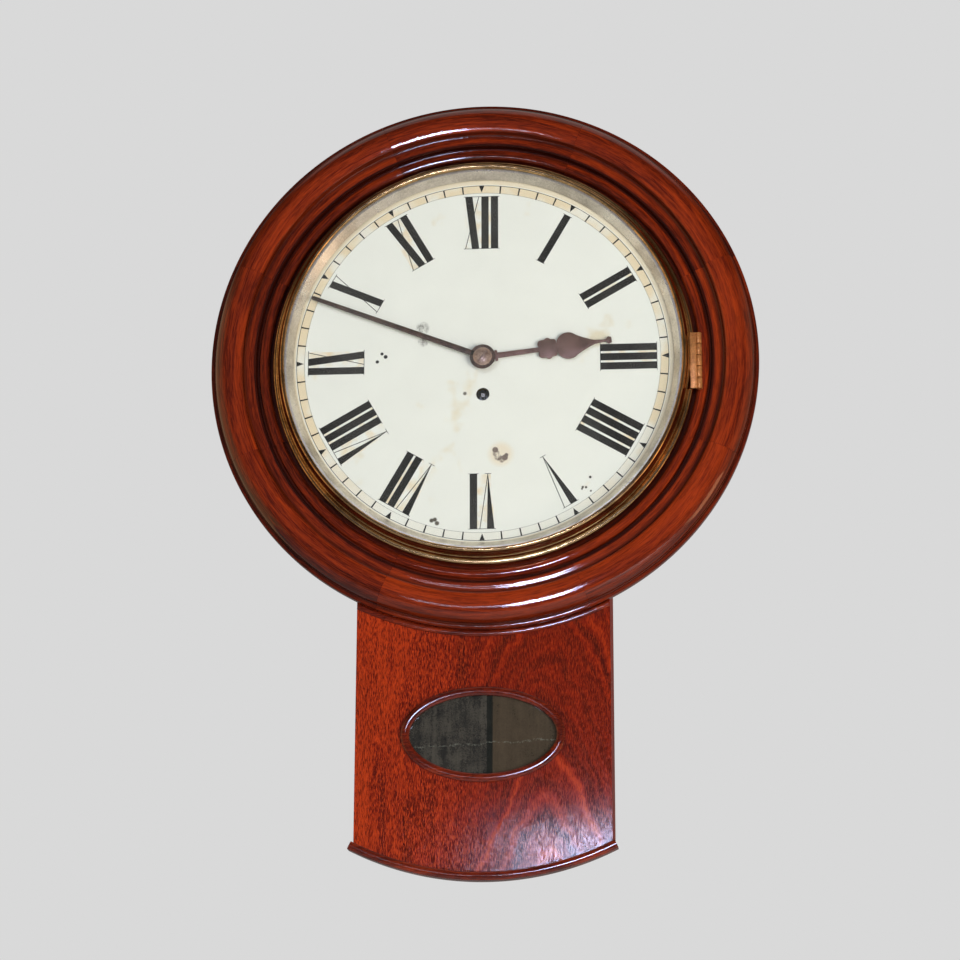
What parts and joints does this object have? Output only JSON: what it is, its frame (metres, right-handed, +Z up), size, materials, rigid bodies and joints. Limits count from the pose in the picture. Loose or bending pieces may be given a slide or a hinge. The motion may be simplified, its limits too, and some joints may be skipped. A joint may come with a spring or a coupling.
{
  "type": "drop dial clock",
  "caption": "Wall clock with a round turned wooden surround, hinged brass bezel and painted dial over a short trunk with an oval window, holding a spring movement and pendulum.",
  "frame": {"origin": "on the back of the case, straight behind the centre of the dial", "axes": "+Z up, +Y back into the wall, +X to the right as seen from the front"},
  "size_m": [0.4298, 0.1313, 0.6198],
  "materials": {
    "mahogany": "French-polished mahogany",
    "mahogany_ring": "French-polished mahogany, turned",
    "case_wood": "stained, unpolished",
    "beech": "turned, bare",
    "brass": "aged, lacquered",
    "movement_brass": "satin",
    "silvered": "silvered brass, satin",
    "steel": "polished",
    "blued_steel": "blued",
    "hand_steel": "browned",
    "dial_paint": "old enamel paint, satin",
    "clear_glass": "clear, polished",
    "window_glass": "clear over the dark inside",
    "rod_steel": "dark oxide"
  },
  "bodies": {
    "case": {"back_board": "case_wood", "side_left": "mahogany", "side_right": "mahogany", "top_board": "case_wood", "trunk_front": "mahogany", "bottom_board": "mahogany", "hanging_plate": "steel", "wood_screws": "steel", "surround": "mahogany_ring", "surround_lugs": "case_wood", "surround_pegs": "beech", "neck_bead": "mahogany", "window_bead": "mahogany", "window_glass": "window_glass", "foot_bead": "mahogany", "dial_plate": "dial_paint", "dial_feet": "movement_brass", "door_hinge_plates": "brass", "bezel_hinge_plate": "brass", "front_plate": "movement_brass", "back_plate": "movement_brass", "pillars": "movement_brass", "taper_pins": "steel", "back_cock": "movement_brass", "back_cock_screws": "blued_steel", "hour_bridge": "movement_brass", "click_spring": "steel"},
    "bezel": {"bezel_ring": "brass", "bezel_glass": "clear_glass", "sight_ring": "silvered", "bezel_hinge_wing": "brass", "bezel_catch": "brass"},
    "side_door": {"side_door": "mahogany", "side_door_knob": "brass", "side_door_wings": "brass"},
    "bottom_door": {"bottom_door": "mahogany", "bottom_door_wings": "brass", "bottom_door_knob": "brass"},
    "spring_barrel": {"barrel": "movement_brass", "barrel_cap": "movement_brass", "mainspring": "blued_steel"},
    "winding_arbor": {"barrel_arbor": "steel", "ratchet_wheel": "steel"},
    "click": {"click": "steel"},
    "intermediate_wheel": {"intermediate_wheel": "movement_brass"},
    "centre_wheel": {"centre_wheel": "movement_brass", "cannon_pinion": "steel", "minute_hand": "hand_steel", "centre_screw": "hand_steel"},
    "third_wheel": {"third_wheel": "movement_brass"},
    "escape_wheel": {"escape_wheel": "movement_brass"},
    "minute_wheel": {"minute_wheel": "movement_brass"},
    "hour_wheel": {"hour_wheel": "movement_brass", "hour_hand": "hand_steel"},
    "pallets": {"pallets": "steel", "crutch": "steel"},
    "pendulum": {"suspension_spring": "blued_steel", "pendulum_rod": "rod_steel", "pendulum_bob": "brass", "rating_nut": "brass"}
  },
  "joints": [
    {"name": "bezel_swing", "type": "hinge", "parent": "case", "child": "bezel", "pos_m": [0.168, -0.1195, -0.0056], "axis": [0, 0, 1], "range_deg": [0, 110]},
    {"name": "side_door_swing", "type": "hinge", "parent": "case", "child": "side_door", "pos_m": [0.0988, -0.024, -0.005], "axis": [0, 0, 1], "range_deg": [0, 100]},
    {"name": "bottom_door_swing", "type": "hinge", "parent": "case", "child": "bottom_door", "pos_m": [0, -0.02519, -0.37035], "axis": [1, 0, 0], "range_deg": [0, 85]},
    {"name": "centre_turn", "type": "hinge", "parent": "case", "child": "centre_wheel", "pos_m": [0, -0.07, 0], "axis": [0, 1, 0], "continuous": true},
    {"name": "intermediate_turn", "type": "hinge", "parent": "case", "child": "intermediate_wheel", "pos_m": [-0.02027, -0.07, -0.00988], "axis": [0, 1, 0], "continuous": true},
    {"name": "barrel_turn", "type": "hinge", "parent": "case", "child": "spring_barrel", "pos_m": [0, -0.07, -0.0292], "axis": [0, 1, 0], "continuous": true},
    {"name": "third_turn", "type": "hinge", "parent": "case", "child": "third_wheel", "pos_m": [0.01303, -0.07, 0.01716], "axis": [0, 1, 0], "continuous": true},
    {"name": "escape_turn", "type": "hinge", "parent": "case", "child": "escape_wheel", "pos_m": [0, -0.07, 0.03034], "axis": [0, 1, 0], "continuous": true},
    {"name": "minute_wheel_turn", "type": "hinge", "parent": "case", "child": "minute_wheel", "pos_m": [-0.01276, -0.1, 0.01276], "axis": [0, 1, 0], "continuous": true},
    {"name": "hour_turn", "type": "hinge", "parent": "case", "child": "hour_wheel", "pos_m": [0, -0.105, 0], "axis": [0, 1, 0], "continuous": true},
    {"name": "winding_turn", "type": "hinge", "parent": "case", "child": "winding_arbor", "pos_m": [0, -0.07, -0.0292], "axis": [0, 1, 0], "range_deg": [0, 1800]},
    {"name": "click_lift", "type": "hinge", "parent": "case", "child": "click", "pos_m": [0.0175, -0.097, -0.0204], "axis": [0, -1, 0], "range_deg": [0, 8]},
    {"name": "pendulum_swing", "type": "hinge", "parent": "case", "child": "pendulum", "pos_m": [0, -0.029, 0.04943], "axis": [0, 1, 0], "range_deg": [-2.5, 2.5]},
    {"name": "pallets_rock", "type": "hinge", "parent": "case", "child": "pallets", "pos_m": [0, -0.07, 0.04943], "axis": [0, 1, 0], "range_deg": [-2.5, 2.5]}
  ],
  "couplings": [
    {"joint": "intermediate_turn", "follows": "centre_turn", "ratio": -0.125},
    {"joint": "barrel_turn", "follows": "centre_turn", "ratio": 0.016447},
    {"joint": "third_turn", "follows": "centre_turn", "ratio": -9.75},
    {"joint": "escape_turn", "follows": "centre_turn", "ratio": 97.5},
    {"joint": "minute_wheel_turn", "follows": "centre_turn", "ratio": -0.33333},
    {"joint": "hour_turn", "follows": "centre_turn", "ratio": 0.083333},
    {"joint": "pallets_rock", "follows": "pendulum_swing", "ratio": 1}
  ]
}
